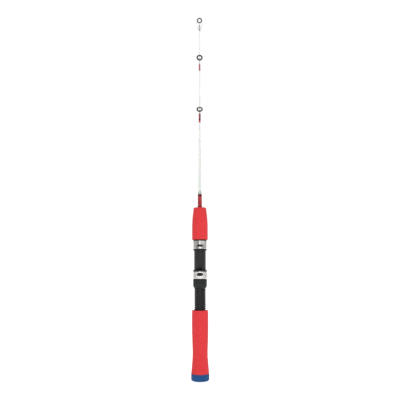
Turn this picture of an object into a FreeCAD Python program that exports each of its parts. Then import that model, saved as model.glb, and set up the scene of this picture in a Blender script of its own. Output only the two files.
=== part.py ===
import FreeCAD, Part
import math
import os
import re

import Sketcher

# Ice fishing rod, standing on its butt. Millimetres. +Z runs up the rod to the tip, and the guides
# and the reel's side face -Y. Heights are measured from the underside of the butt cap.
# Words used below: a hood is one of the two stamped shells that hold the reel's foot, a liner is the
# plastic insert of a hood, and an arbor is a bushing between the blank and the reel seat's pipe.

DIMENSIONS = {
    # butt cap and rear grip
    "cap_radius": 14.1,
    "cap_top": 10.6,
    "cap_edge_round": 2.5,
    "cap_rim_round": 0.5,
    "socket_radius": 9.0,
    "socket_floor": 5.6,
    "spigot_gap": 0.1,
    "rear_foot_radius": 13.9,
    "rear_flare_radius": 12.45,
    "rear_flare_top": 28.0,
    "rear_waist_round": 150.0,
    "rear_neck_radius": 11.97,
    "rear_neck_top": 48.0,
    "rear_palm_radius": 12.5,
    "rear_palm_start": 62.0,
    "rear_palm_round": 900.0,
    "rear_shoulder_radius": 12.75,
    "rear_top": 106.2,
    "grip_edge_round": 0.8,
    "grip_bore": 2.85,
    # blank
    "blank_start": 8.0,
    "blank_butt_radius": 2.8,
    "taper_start": 262.0,
    "blank_wrap_radius": 2.42,
    "blank_wrap_height": 296.0,
    "blank_lower_radius": 1.8,
    "blank_lower_height": 360.0,
    "blank_middle_radius": 1.38,
    "blank_middle_height": 423.0,
    "blank_upper_radius": 1.1,
    "blank_upper_height": 510.0,
    "blank_tip_radius": 0.88,
    "blank_end": 588.0,
    # reel seat pipe and its thread
    "pipe_start": 94.0,
    "pipe_end": 216.0,
    "pipe_radius": 9.3,
    "pipe_bore": 6.3,
    "pipe_end_chamfer": 0.5,
    "thread_root": 8.3,
    "thread_pitch": 3.2,
    "crest_flat": 1.1,
    "root_flat": 0.5,
    "thread_first": 91.4,
    "thread_last": 168.4,
    "thread_play": 0.2,
    "keyway_width": 2.0,
    "keyway_floor": 8.0,
    "arbor_length": 14.0,
    "arbor_gap": 0.05,
    # locking nut
    "nut_start": 140.9,
    "nut_cone_top": 144.0,
    "nut_end": 154.9,
    "nut_radius": 11.05,
    "nut_foot_radius": 9.8,
    "nut_edge_round": 0.9,
    "flute_count": 24.0,
    "flute_radius": 0.75,
    "flute_depth": 0.4,
    "flute_end": 153.4,
    # hoods and liners
    "slider_end": 155.2,
    "slider_mouth": 166.6,
    "slider_lip": 169.1,
    "slider_radius": 10.85,
    "slider_bulge": 7.2,
    "slider_bulge_end": 6.6,
    "fixed_lip": 200.0,
    "fixed_mouth": 202.6,
    "fixed_end": 216.0,
    "fixed_radius": 10.6,
    "fixed_bulge": 7.2,
    "fixed_bulge_end": 4.8,
    "bulge_centre": 6.3,
    "hood_wall": 0.6,
    "liner_wall": 0.7,
    "liner_floor": 1.2,
    "lip_proud": 0.1,
    "seat_gap": 0.02,
    "slide_gap": 0.1,
    "key_width": 1.6,
    "key_floor": 8.25,
    "eye_height": 162.2,
    "eye_half_width": 5.1,
    "eye_half_height": 2.6,
    "slot_start": 205.9,
    "slot_height": 3.3,
    "slot_width": 9.7,
    # trim ring and front grip
    "trim_start": 216.02,
    "trim_end": 217.5,
    "trim_radius": 11.3,
    "trim_spigot_radius": 6.25,
    "trim_spigot_depth": 3.0,
    "front_foot_radius": 12.3,
    "front_radius": 12.62,
    "front_taper_start": 241.0,
    "front_taper_round": 200.0,
    "front_neck_radius": 10.0,
    "front_neck_height": 268.7,
    "front_crown_round": 0.8,
    "front_crown_radius": 9.2,
    "front_top": 269.5,
    # butt windings
    "check_radius": 3.55,
    "check_top_radius": 3.35,
    "check_top": 273.3,
    "wrap_radius": 3.05,
    "wrap_top": 288.7,
    "band_radius": 3.3,
    "band_top": 291.6,
    "bond_gap": 0.02,
    # line guides: rings and frames
    "ring_section": 1.0,
    "lower_ring_hole": 3.0,
    "lower_ring_radius": 5.3,
    "lower_ring_height": 434.1,
    "lower_ring_reach": 8.7,
    "lower_ring_lean": 26.0,
    "upper_ring_hole": 2.75,
    "upper_ring_radius": 5.2,
    "upper_ring_height": 525.3,
    "upper_ring_reach": 8.3,
    "upper_ring_lean": 38.0,
    "tip_ring_hole": 2.4,
    "tip_ring_radius": 4.5,
    "tip_ring_height": 594.9,
    "tip_ring_reach": 4.4,
    "tip_ring_lean": 52.0,
    "hoop_wire": 0.45,
    "hoop_proud": 0.25,
    "leg_wire": 0.42,
    "leg_overlap": 0.84,
    "leg_splay": 0.55,
    "leg_bend": 0.63,
    "leg_turn": 42.0,
    "foot_width": 1.2,
    "foot_thickness": 0.4,
    "foot_taper": 4.0,
    "lower_foot_start": 416.0,
    "lower_knee_rise": 0.0,
    "lower_wrap_start": 413.9,
    "lower_wrap_band_start": 418.2,
    "lower_wrap_band_end": 420.2,
    "lower_wrap_end": 429.5,
    "lower_wrap_radius": 1.58,
    "upper_foot_start": 507.5,
    "upper_knee_rise": 1.2,
    "upper_wrap_start": 505.3,
    "upper_wrap_end": 517.3,
    "upper_wrap_radius": 1.33,
    "wrap_swell": 0.5,
    "tube_start": 576.6,
    "tube_end": 590.1,
    "tube_radius": 1.4,
    "tube_bore": 0.92,
    "tube_crown_round": 1.0,
    "brace_foot": 579.5,
    "brace_foot_spread": 1.74,
    "brace_knee": 586.2,
    "brace_knee_spread": 3.7,
    "brace_knee_reach": 0.4,
    "brace_bow": 591.2,
    "brace_bow_spread": 5.5,
    "brace_bow_reach": 1.7,
    "brace_bend": 2.4,
    "brace_turn": 95.0,
}

ROUND, HOLLOW = 1, -1
FULL_TURN, QUARTER_TURN = 360, 90
NODES_FOLDER = "parts"
ORIGIN_POINT, X_AXIS, Y_AXIS = (-1, 1), -1, -2
START, END, CENTRE = 1, 2, 3
TINY = 1e-9

# How many pitches the nut's groove stands above the pipe's first one. The half puts ridge in groove.
NUT_LEAD = 14.5

# How far each winding swells over the frame's foot at its low and high end, as a share of wrap_swell.
TAIL_SWELL, BAND_SWELL, LONG_SWELL, UPPER_SWELL = (0.2, 0.7), (0.8, 0.95), (0.95, 1), (0.7, 1)

doc = FreeCAD.newDocument("ice_fishing_rod")
nodes = []


def fill_sheet():
    """Write every driving dimension into the document's spreadsheet."""
    sheet = doc.addObject("Spreadsheet::Sheet", "dims")
    for row, (name, size) in enumerate(DIMENSIONS.items(), start=1):
        sheet.set("A%d" % row, name)
        sheet.set("B%d" % row, str(size))
        sheet.setAlias("B%d" % row, name)
    doc.recompute()
    return sheet


def in_cells(formula):
    """Point each dimension's name in a formula at its cell."""
    return re.sub(r"\b[a-z]+(?:_[a-z]+)+\b", lambda found: "dims." + found.group(0), str(formula))


dims = fill_sheet()


def size(formula):
    """Work out a formula of dimensions as a number."""
    answer = dims.evalExpression(in_cells(formula))
    return float(getattr(answer, "Value", answer))


def bind(thing, **formulas):
    """Tie an object's properties to the sheet."""
    for name, formula in formulas.items():
        thing.setExpression(name.replace("__", "."), in_cells(formula))
    return thing


def keep(thing, label):
    """Register a finished piece under its node name."""
    thing.Label = label
    nodes.append(thing)
    return thing


# ---------------------------------------------------------------- sketches and bodies

def origin_plane(body, role):
    return next(plane for plane in body.Origin.OriginFeatures if plane.Role == role)


def new_sketch(body, name, role):
    sketch = body.newObject("Sketcher::SketchObject", name)
    sketch.AttachmentSupport = [(origin_plane(body, role), "")]
    sketch.MapMode = "FlatFace"
    return sketch


def tie_point(sketch, edge, point, across, along):
    """Fix one end of an edge at two formulas, measured from the sketch's origin."""
    for kind, axis, formula in (("DistanceX", Y_AXIS, across), ("DistanceY", X_AXIS, along)):
        if abs(size(formula)) < TINY:
            sketch.addConstraint(Sketcher.Constraint("PointOnObject", edge, point, axis))
            continue
        rule = Sketcher.Constraint(kind, *ORIGIN_POINT, edge, point, size(formula))
        index = sketch.addConstraint(rule)
        sketch.setExpression("Constraints[%d]" % index, in_cells(formula))


def curved_edge(start, end, radius, side):
    """An arc from start to end whose centre is left of the way (ROUND) or right of it (HOLLOW)."""
    chord = end - start
    left = FreeCAD.Vector(-chord.y, chord.x, 0).normalize() * side
    rise = radius - math.sqrt(radius ** 2 - (chord.Length / 2) ** 2)
    middle = start + chord / 2 - left * rise
    return Part.Arc(start, middle, end) if side == ROUND else Part.Arc(end, middle, start)


def outline(body, name, role, corners):
    """A closed outline: a corner is (across, along), plus (radius, side) if a curve leaves it."""
    sketch = new_sketch(body, name, role)
    spots = [FreeCAD.Vector(size(corner[0]), size(corner[1]), 0) for corner in corners]
    ends = []
    for index, corner in enumerate(corners):
        start, end = spots[index], spots[(index + 1) % len(spots)]
        curve = Part.LineSegment(start, end)
        if len(corner) > 2:
            curve = curved_edge(start, end, size(corner[2]), corner[3])
        sketch.addGeometry(curve)
        ends.append((END, START) if HOLLOW in corner[3:] else (START, END))
    for edge, corner in enumerate(corners):
        after = (edge + 1) % len(corners)
        sketch.addConstraint(Sketcher.Constraint("Coincident", edge, ends[edge][1], after, ends[after][0]))
        tie_point(sketch, edge, ends[edge][0], corner[0], corner[1])
        if len(corner) > 2:
            index = sketch.addConstraint(Sketcher.Constraint("Radius", edge, size(corner[2])))
            sketch.setExpression("Constraints[%d]" % index, in_cells(corner[2]))
    return sketch


def turned_body(name, corners):
    """A body turned about its own Z axis from a half-section of (radius, height) corners."""
    body = doc.addObject("PartDesign::Body", name)
    turning = body.newObject("PartDesign::Revolution", name + "_turning")
    turning.Profile = outline(body, name + "_section", "XZ_Plane", corners)
    turning.ReferenceAxis = (turning.Profile[0], ["V_Axis"])
    turning.Angle = FULL_TURN
    return body


def lean_to_the_tip(body, height, reach, lean):
    """Stand a guide ring in front of the blank, with its far edge leaning to the tip."""
    body.Placement = FreeCAD.Placement(
        FreeCAD.Vector(0, -size(reach), size(height)),
        FreeCAD.Rotation(FreeCAD.Vector(1, 0, 0), -size(lean)))
    return bind(body, **{
        "Placement__Base__y": "-" + reach,
        "Placement__Base__z": height,
        "Placement__Rotation__Angle": "-" + lean,
    })


# ---------------------------------------------------------------- plain solids and booleans

def rod_solid(name, radius, low, high):
    """An upright cylinder on the rod's axis."""
    solid = doc.addObject("Part::Cylinder", name)
    return bind(solid, Radius=radius, Height="%s - (%s)" % (high, low), Placement__Base__z=low)


def cone_solid(name, low_radius, high_radius, low, high):
    solid = doc.addObject("Part::Cone", name)
    bind(solid, Radius1=low_radius, Radius2=high_radius)
    return bind(solid, Height="%s - (%s)" % (high, low), Placement__Base__z=low)


def block(name, width, front, back, low, high):
    """A box centred on the YZ plane, between two distances in front of the axis."""
    solid = doc.addObject("Part::Box", name)
    bind(solid, Length=width, Width="%s - (%s)" % (front, back), Height="%s - (%s)" % (high, low))
    return bind(solid, Placement__Base__x="-(%s) / 2" % width, Placement__Base__y="-(%s)" % front,
                Placement__Base__z=low)


def circle(name, radius, height, forward):
    """A level circle, its centre in front of the axis."""
    ring = doc.addObject("Part::Circle", name)
    return bind(ring, Radius=radius, Placement__Base__z=height, Placement__Base__y="-(%s)" % forward)


def loft(name, sections):
    solid = doc.addObject("Part::Loft", name)
    solid.Sections = sections
    solid.Solid = True
    solid.Ruled = True
    return solid


def join(name, shapes):
    solid = doc.addObject("Part::MultiFuse", name)
    solid.Shapes = shapes
    return solid


def cut(name, base, tool):
    solid = doc.addObject("Part::Cut", name)
    solid.Base = base
    solid.Tool = tool
    return solid


# ---------------------------------------------------------------- blank, grips and cap

def make_blank():
    """Solid glass blank: straight inside the handle, then four tapers."""
    stations = ["butt", "wrap", "lower", "middle", "upper", "tip"]
    heights = ["taper_start"] + ["blank_%s_height" % name for name in stations[1:-1]] + ["blank_end"]
    corners = [("0", "blank_start"), ("blank_butt_radius", "blank_start")]
    corners += [("blank_%s_radius" % name, height) for name, height in zip(stations, heights)]
    corners.append(("0", "blank_end"))
    return keep(turned_body("blank", corners), "blank")


def make_butt_cap():
    corners = [
        ("0", "0"),
        ("cap_radius - cap_edge_round", "0", "cap_edge_round", ROUND),
        ("cap_radius", "cap_edge_round"),
        ("cap_radius", "cap_top - cap_rim_round", "cap_rim_round", ROUND),
        ("cap_radius - cap_rim_round", "cap_top"),
        ("socket_radius", "cap_top"),
        ("socket_radius", "socket_floor"),
        ("0", "socket_floor"),
    ]
    keep(turned_body("butt_cap", corners), "butt_cap")


def make_rear_grip():
    """Waisted foam grip, with a spigot in the cap and a counterbore over the pipe's end."""
    corners = [
        ("grip_bore", "socket_floor + spigot_gap"),
        ("socket_radius - spigot_gap", "socket_floor + spigot_gap"),
        ("socket_radius - spigot_gap", "cap_top + bond_gap"),
        ("rear_foot_radius", "cap_top + bond_gap"),
        ("rear_flare_radius", "rear_flare_top", "rear_waist_round", HOLLOW),
        ("rear_neck_radius", "rear_neck_top"),
        ("rear_palm_radius", "rear_palm_start", "rear_palm_round", ROUND),
        ("rear_shoulder_radius", "rear_top - grip_edge_round", "grip_edge_round", ROUND),
        ("rear_shoulder_radius - grip_edge_round", "rear_top"),
        ("pipe_radius + bond_gap", "rear_top"),
        ("pipe_radius + bond_gap", "pipe_start - bond_gap"),
        ("grip_bore", "pipe_start - bond_gap"),
    ]
    keep(turned_body("rear_grip", corners), "rear_grip")


def make_front_grip():
    corners = [
        ("grip_bore", "trim_end + bond_gap"),
        ("front_foot_radius", "trim_end + bond_gap"),
        ("front_radius", "trim_end + grip_edge_round"),
        ("front_radius", "front_taper_start", "front_taper_round", ROUND),
        ("front_neck_radius", "front_neck_height", "front_crown_round", ROUND),
        ("front_crown_radius", "front_top"),
        ("grip_bore", "front_top"),
    ]
    keep(turned_body("front_grip", corners), "front_grip")


def make_trim_ring():
    """Black ring between seat and grip, centred by a spigot in the pipe's bore."""
    corners = [
        ("grip_bore", "pipe_end - trim_spigot_depth"),
        ("trim_spigot_radius", "pipe_end - trim_spigot_depth"),
        ("trim_spigot_radius", "trim_start"),
        ("trim_radius - bond_gap", "trim_start"),
        ("trim_radius", "(trim_start + trim_end) / 2"),
        ("trim_radius - bond_gap", "trim_end"),
        ("grip_bore", "trim_end"),
    ]
    keep(turned_body("trim_ring", corners), "trim_ring")


# ---------------------------------------------------------------- reel seat

def thread_cut(body, name, corners):
    """Cut a right-hand screw groove of the given (radius, height) section."""
    groove = body.newObject("PartDesign::SubtractiveHelix", name)
    groove.Profile = outline(body, name + "_section", "XZ_Plane", corners)
    groove.ReferenceAxis = (groove.Profile[0], ["V_Axis"])
    groove.Mode = "pitch-height-angle"
    return groove


def make_pipe():
    """Reel seat pipe: bored, threaded below, smooth above, with a keyway down its back."""
    body = turned_body("reel_seat_pipe", [
        ("pipe_bore", "pipe_start"),
        ("pipe_radius - pipe_end_chamfer", "pipe_start"),
        ("pipe_radius", "pipe_start + pipe_end_chamfer"),
        ("pipe_radius", "pipe_end"),
        ("pipe_bore", "pipe_end"),
    ])
    doc.recompute()
    plain_volume = body.Shape.Volume
    groove_centre = "thread_first"
    mouth_half = "(thread_pitch - crest_flat) / 2"
    groove = thread_cut(body, "pipe_thread", [
        ("thread_root", groove_centre + " - root_flat / 2"),
        ("pipe_radius", groove_centre + " - " + mouth_half),
        ("pipe_radius + thread_play", groove_centre + " - " + mouth_half),
        ("pipe_radius + thread_play", groove_centre + " + " + mouth_half),
        ("pipe_radius", groove_centre + " + " + mouth_half),
        ("thread_root", groove_centre + " + root_flat / 2"),
    ])
    bind(groove, Pitch="thread_pitch", Height="thread_last - thread_first - thread_pitch")
    doc.recompute()
    threaded_volume = body.Shape.Volume
    keyway = body.newObject("PartDesign::Pocket", "pipe_keyway")
    keyway.Profile = outline(body, "pipe_keyway_section", "XY_Plane", [
        ("-keyway_width / 2", "keyway_floor"),
        ("keyway_width / 2", "keyway_floor"),
        ("keyway_width / 2", "pipe_radius + thread_play"),
        ("-keyway_width / 2", "pipe_radius + thread_play"),
    ])
    keyway.Reversed = True
    bind(keyway, Length="thread_last")
    doc.recompute()
    assert body.Shape.Volume < threaded_volume < plain_volume
    keep(body, "reel_seat_pipe")


def make_nut():
    """Fluted locking nut whose thread rides on the pipe's with a little play."""
    ridge = "thread_first + thread_pitch * %g" % NUT_LEAD
    bore = "thread_root + thread_play"
    body = turned_body("locking_nut", [
        (bore, "nut_start"),
        ("nut_foot_radius", "nut_start"),
        ("nut_radius", "nut_cone_top"),
        ("nut_radius", "nut_end - nut_edge_round", "nut_edge_round", ROUND),
        ("nut_radius - nut_edge_round", "nut_end"),
        (bore, "nut_end"),
    ])
    doc.recompute()
    plain_volume = body.Shape.Volume
    mouth_half = "(thread_pitch - root_flat) / 2"
    groove = thread_cut(body, "nut_thread", [
        ("thread_root", ridge + " - " + mouth_half),
        (bore, ridge + " - " + mouth_half),
        ("pipe_radius + thread_play", ridge + " - crest_flat / 2"),
        ("pipe_radius + thread_play", ridge + " + crest_flat / 2"),
        (bore, ridge + " + " + mouth_half),
        ("thread_root", ridge + " + " + mouth_half),
    ])
    bind(groove, Pitch="thread_pitch", Height="nut_end - nut_start + 2 * thread_pitch")
    doc.recompute()
    threaded_volume = body.Shape.Volume
    flute = body.newObject("PartDesign::Pocket", "nut_flute")
    section = new_sketch(body, "nut_flute_section", "XY_Plane")
    edge = section.addGeometry(Part.Circle(FreeCAD.Vector(), FreeCAD.Vector(0, 0, 1), 1))
    centre = "nut_radius + flute_radius - flute_depth"
    tie_point(section, edge, CENTRE, centre, "0")
    index = section.addConstraint(Sketcher.Constraint("Radius", edge, size("flute_radius")))
    section.setExpression("Constraints[%d]" % index, in_cells("flute_radius"))
    flute.Profile = section
    flute.Reversed = True
    bind(flute, Length="flute_end")
    doc.recompute()
    pattern = body.newObject("PartDesign::PolarPattern", "nut_flutes")
    pattern.Originals = [flute]
    pattern.Axis = (section, ["N_Axis"])
    pattern.Angle = FULL_TURN
    pattern.Occurrences = int(size("flute_count"))
    body.Tip = pattern
    doc.recompute()
    assert body.Shape.Volume < threaded_volume < plain_volume
    keep(body, "locking_nut")


def pouch(name, hood, mouth, end, grow):
    """A hood's outer form, or the same form grown or shrunk: a band with a bulge in front."""
    low, high = (mouth, end) if size(mouth) < size(end) else (end, mouth)
    band = rod_solid(name + "_band", "%s_radius + (%s)" % (hood, grow), low, high)
    return join(name, [band, bulge(name + "_bulge", hood, mouth, end, grow)])


def bulge(name, hood, mouth, end, grow):
    sections = [
        circle(name + "_mouth", "%s_bulge + (%s)" % (hood, grow), mouth, "bulge_centre"),
        circle(name + "_end", "%s_bulge_end + (%s)" % (hood, grow), end, "bulge_centre"),
    ]
    return loft(name, sections)


def make_hood(hood, label, window, side):
    """Stamped shell. Its mouth faces the reel; side is +1 if the closed end is above it."""
    mouth, end = hood + "_mouth", hood + "_end"
    way = " + " if side > 0 else " - "
    floor = end + (" - " if side > 0 else " + ") + "hood_wall"
    outer = pouch(hood + "_shell", hood, mouth, end, "0")
    inner = pouch(hood + "_hollow", hood, mouth, floor, "-hood_wall")
    low, high = sorted((mouth, end + way + "hood_wall"), key=size)
    through = rod_solid(hood + "_pipe_way", "pipe_radius + slide_gap", low, high)
    keep(cut(label, outer, join(hood + "_waste", [inner, through, window])), label)


def make_liner(hood, label, side, gap, key=None):
    """Plastic insert: lines the hood, shows as a lip at its mouth and leaves the foot's pocket."""
    mouth, end, lip = hood + "_mouth", hood + "_end", hood + "_lip"
    back, ahead = (" - ", " + ") if side > 0 else (" + ", " - ")
    shrink = "-hood_wall - seat_gap"
    edge = mouth + back + "seat_gap"
    body = pouch(hood + "_insert", hood, edge, end + back + "(hood_wall + seat_gap)", shrink)
    rim = pouch(hood + "_rim", hood, edge, lip, "lip_proud")
    rim.Shapes[1].Sections[1].setExpression("Radius", in_cells("%s_bulge + lip_proud" % hood))
    low, high = sorted((lip + back + "thread_play", end + ahead + "hood_wall"), key=size)
    through = rod_solid(hood + "_insert_way", "pipe_radius + " + gap, low, high)
    pocket = bulge(hood + "_pocket", hood, lip + back + "thread_play",
                   end + back + "(hood_wall + liner_floor)", "-hood_wall - liner_wall")
    solid = cut(hood + "_insert_bored", join(hood + "_insert_form", [body, rim]),
                join(hood + "_insert_waste", [through, pocket]))
    keep(join(label, [solid, key]) if key else solid, label)


def make_hoods():
    """Both hoods with their windows, and both liners; only the sliding one has a key."""
    eye = doc.addObject("Part::Ellipse", "eye_outline")
    eye.Placement.Rotation = FreeCAD.Rotation(FreeCAD.Vector(1, 0, 0), QUARTER_TURN)
    bind(eye, MajorRadius="eye_half_width", MinorRadius="eye_half_height",
         Placement__Base__z="eye_height", Placement__Base__y="-pipe_radius")
    eye_window = doc.addObject("Part::Extrusion", "eye_window")
    eye_window.Base = eye
    eye_window.DirMode = "Custom"
    eye_window.Dir = FreeCAD.Vector(0, -1, 0)
    eye_window.Solid = True
    bind(eye_window, LengthFwd="bulge_centre")
    slot_window = block("slot_window", "slot_width", "pipe_radius + bulge_centre", "pipe_radius",
                        "slot_start", "slot_start + slot_height")
    make_hood("slider", "sliding_hood", eye_window, -1)
    make_hood("fixed", "fixed_hood", slot_window, 1)
    key = block("slider_key", "key_width", "-key_floor", "-(pipe_radius + liner_wall)",
                "slider_end + hood_wall + seat_gap", "slider_end + hood_wall + liner_floor")
    make_liner("slider", "sliding_hood_liner", -1, "slide_gap", key)
    make_liner("fixed", "fixed_hood_liner", 1, "seat_gap")


def make_arbors():
    """Three bushings that centre the blank in the pipe."""
    length = "arbor_length"
    middle = "(pipe_start + pipe_end) / 2"
    places = {
        "rear_arbor": ("pipe_start", "pipe_start + " + length),
        "middle_arbor": (middle + " - %s / 2" % length, middle + " + %s / 2" % length),
        "front_arbor": ("pipe_end - 2 * " + length, "pipe_end - " + length),
    }
    for label, (low, high) in places.items():
        outer, inner = "pipe_bore - arbor_gap", "blank_butt_radius + arbor_gap"
        corners = [(inner, low), (outer, low), (outer, high), (inner, high)]
        keep(turned_body(label, corners), label)


# ---------------------------------------------------------------- windings

def around(label, form, cores):
    """A winding: its outer form less everything that it is wound over."""
    core = cores[0] if len(cores) == 1 else join(label + "_cores", cores)
    return keep(cut(label, form, core), label)


def make_butt_windings(blank):
    gap = "front_top + bond_gap"
    check = cone_solid("check_form", "check_radius", "check_top_radius", gap, "check_top")
    wrap = rod_solid("wrap_form", "wrap_radius", "check_top", "wrap_top")
    band = rod_solid("band_form", "band_radius", "wrap_top", "band_top")
    around("winding_check", check, [blank])
    around("butt_wrap", wrap, [blank])
    around("butt_wrap_band", band, [blank])


def winding_form(name, guide, low, high, swells):
    """A stretch of guide winding: round, with a swelling in front over the frame's foot."""
    radius = guide + "_wrap_radius"
    sections = []
    for end, height, swell in zip(("low", "high"), (low, high), swells):
        forward = "wrap_swell * %g" % swell
        sections.append(circle("%s_%s" % (name, end), radius, height, forward))
    return join(name, [rod_solid(name + "_round", radius, low, high), loft(name + "_swelling", sections)])


def make_guide_windings(blank, lower_frame, upper_frame):
    """The lower guide has a bright end, a dark band and a long wrap; the upper has one wrap."""
    start, end = "lower_wrap_start", "lower_wrap_end"
    band_start, band_end = "lower_wrap_band_start", "lower_wrap_band_end"
    forms = {
        "lower_guide_tail_wrap": winding_form("tail_form", "lower", start, band_start, TAIL_SWELL),
        "lower_guide_band": winding_form("guide_band_form", "lower", band_start, band_end, BAND_SWELL),
        "lower_guide_wrap": winding_form("lower_wrap_form", "lower", band_end, end, LONG_SWELL),
    }
    for label, form in forms.items():
        around(label, form, [blank, lower_frame])
    form = winding_form("upper_wrap_form", "upper", "upper_wrap_start", "upper_wrap_end", UPPER_SWELL)
    around("upper_guide_wrap", form, [blank, upper_frame])


# ---------------------------------------------------------------- guides

def make_ring(guide, label):
    """Ceramic ring: a rounded hole, a flange that faces the butt and a boss that holds the hoop."""
    hole, radius = guide + "_ring_hole", guide + "_ring_radius"
    boss = "%s - 2 * hoop_wire + hoop_proud - seat_gap" % radius
    throat = "%s + ring_section" % hole
    corners = [
        (throat, "-ring_section"),
        ("%s - ring_section / 2" % radius, "-ring_section", "ring_section / 2", ROUND),
        (radius, "-ring_section / 2"),
        (radius, "0"),
        (boss, "0"),
        (boss, "ring_section"),
        (throat, "ring_section", "ring_section", ROUND),
        (hole, "0", "ring_section", ROUND),
    ]
    body = turned_body(guide + "_ring", corners)
    lean_to_the_tip(body, guide + "_ring_height", guide + "_ring_reach", guide + "_ring_lean")
    return keep(body, label)


def rounded_wire(points, bend):
    """Straight runs joined by tangent arcs of one bend radius."""
    edges, start = [], points[0]
    for before, corner, after in zip(points, points[1:], points[2:]):
        back, ahead = (before - corner).normalize(), (after - corner).normalize()
        half_angle = back.getAngle(ahead) / 2
        trim = bend / math.tan(half_angle)
        centre = corner + (back + ahead).normalize() * (bend / math.sin(half_angle))
        middle = centre + (corner - centre).normalize() * bend
        edges.append(Part.LineSegment(start, corner + back * trim).toShape())
        edges.append(Part.Arc(corner + back * trim, middle, corner + ahead * trim).toShape())
        start = corner + ahead * trim
    edges.append(Part.LineSegment(start, points[-1]).toShape())
    return Part.Wire(edges)


def wire_leg(points, radius, bend=None):
    """Round wire along a bent path, with a ball at each end so that it joins smoothly."""
    path = rounded_wire(points, bend)
    section = Part.Wire(Part.Circle(points[0], points[1] - points[0], radius).toShape())
    leg = path.makePipeShell([section], True, False)
    return leg.fuse([Part.makeSphere(radius, points[0]), Part.makeSphere(radius, points[-1])])


def hoop(guide):
    """The wire hoop that holds a ring, with its centre and its outward direction."""
    lean = math.radians(size(guide + "_ring_lean"))
    centre = FreeCAD.Vector(0, -size(guide + "_ring_reach"), size(guide + "_ring_height"))
    outward = FreeCAD.Vector(0, -math.cos(lean), math.sin(lean))
    normal = FreeCAD.Vector(0, math.sin(lean), math.cos(lean))
    middle = centre + normal * (size("hoop_wire") + size("bond_gap"))
    major = size(guide + "_ring_radius - hoop_wire + hoop_proud")
    solid = Part.makeTorus(major, size("hoop_wire"), middle, normal)
    return solid, middle, outward, major


def on_hoop(middle, outward, major, turn, side):
    """The point of the hoop at an angle from its blank side, to the left or to the right."""
    angle = math.radians(turn)
    return middle - outward * (major * math.cos(angle)) + FreeCAD.Vector(side, 0, 0) * (
        major * math.sin(angle))


def blank_radius(height):
    """The blank's radius at a height, from the same stations that shape it."""
    stations = [(size("taper_start"), size("blank_butt_radius"))]
    stations += [(size("blank_%s_height" % name), size("blank_%s_radius" % name))
                 for name in ("wrap", "lower", "middle", "upper")]
    stations.append((size("blank_end"), size("blank_tip_radius")))
    for (low, wide), (high, narrow) in zip(stations, stations[1:]):
        if low <= height <= high:
            return wide + (narrow - wide) * (height - low) / (high - low)
    raise ValueError("height outside the tapers")


def make_single_foot_frame(guide, label, blank):
    """A ground foot on the blank, two wire legs and a hoop for the ring."""
    solid, middle, outward, major = hoop(guide)
    start, knee = size(guide + "_foot_start"), size("%s_wrap_end + %s_knee_rise" % (guide, guide))
    thickness, wire = size("foot_thickness"), size("leg_wire")
    front = -blank_radius(start) - thickness
    heel = FreeCAD.Vector(0, -blank_radius(knee) - thickness / 2, knee)
    outer_edge = [
        FreeCAD.Vector(0, -blank_radius(start) - thickness / 4, start),
        FreeCAD.Vector(0, front, start + size("foot_taper")),
        FreeCAD.Vector(0, front, knee),
        FreeCAD.Vector(0, 0, knee),
        FreeCAD.Vector(0, 0, start),
    ]
    side = Part.Face(Part.makePolygon(outer_edge + outer_edge[:1]))
    side.translate(FreeCAD.Vector(-size("foot_width") / 2, 0, 0))
    foot = side.extrude(FreeCAD.Vector(size("foot_width"), 0, 0)).cut(blank.Shape)
    legs = []
    for hand in (-1, 1):
        root = heel + FreeCAD.Vector(hand * wire, 0, -size("leg_overlap"))
        elbow = heel + FreeCAD.Vector(hand * size("leg_splay"), -wire / 2, size("leg_overlap"))
        tip = on_hoop(middle, outward, major, size("leg_turn"), hand)
        legs.append(wire_leg([root, elbow, tip], wire, size("leg_bend")))
    clear_of_blank = solid.fuse(legs).cut(blank.Shape).fuse(foot)
    frame = doc.addObject("Part::Feature", guide + "_frame")
    frame.Shape = clear_of_blank.removeSplitter()
    return keep(frame, label)


def make_tip_tube():
    """Drawn tube, closed above the blank's end."""
    corners = [
        ("0", "blank_end + bond_gap"),
        ("tube_bore", "blank_end + bond_gap"),
        ("tube_bore", "tube_start"),
        ("tube_radius", "tube_start"),
        ("tube_radius", "tube_end - tube_crown_round", "tube_crown_round", ROUND),
        ("tube_radius - tube_crown_round", "tube_end"),
        ("0", "tube_end"),
    ]
    return keep(turned_body("tip_top_tube", corners), "tip_top_tube")


def make_tip_frame(tube):
    """Two braces bow out from the tube's sides to the hoop, and a short post carries its foot."""
    solid, middle, outward, major = hoop("tip")
    wire = size("leg_wire")
    pieces = [wire_leg([FreeCAD.Vector(0, 0, size("tube_end") - wire),
                        on_hoop(middle, outward, major, 0, 1)], wire)]
    for hand in (-1, 1):
        brace = [
            FreeCAD.Vector(hand * size("brace_foot_spread"), 0, size("brace_foot")),
            FreeCAD.Vector(hand * size("brace_knee_spread"), -size("brace_knee_reach"), size("brace_knee")),
            FreeCAD.Vector(hand * size("brace_bow_spread"), -size("brace_bow_reach"), size("brace_bow")),
            on_hoop(middle, outward, major, size("brace_turn"), hand),
        ]
        pieces.append(wire_leg(brace, wire, size("brace_bend")))
    frame = doc.addObject("Part::Feature", "tip_frame")
    frame.Shape = solid.fuse(pieces).cut(tube.Shape).removeSplitter()
    return keep(frame, "tip_top_frame")


# ---------------------------------------------------------------- the whole rod

def check_and_export():
    """Stop at any failed object or bad shape, then write one STEP file for each piece."""
    doc.recompute()
    for thing in doc.Objects:
        assert not {"Invalid", "Error"} & set(thing.State), "failed: " + thing.Name
    for node in nodes:
        assert not node.Shape.isNull() and node.Shape.isValid(), "bad shape: " + node.Label
    os.makedirs(NODES_FOLDER, exist_ok=True)
    for node in nodes:
        node.Shape.exportStep(os.path.join(NODES_FOLDER, node.Label + ".step"))
        print("%-24s %8.1f mm3  %d solid" % (node.Label, node.Shape.Volume, len(node.Shape.Solids)))


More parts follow.
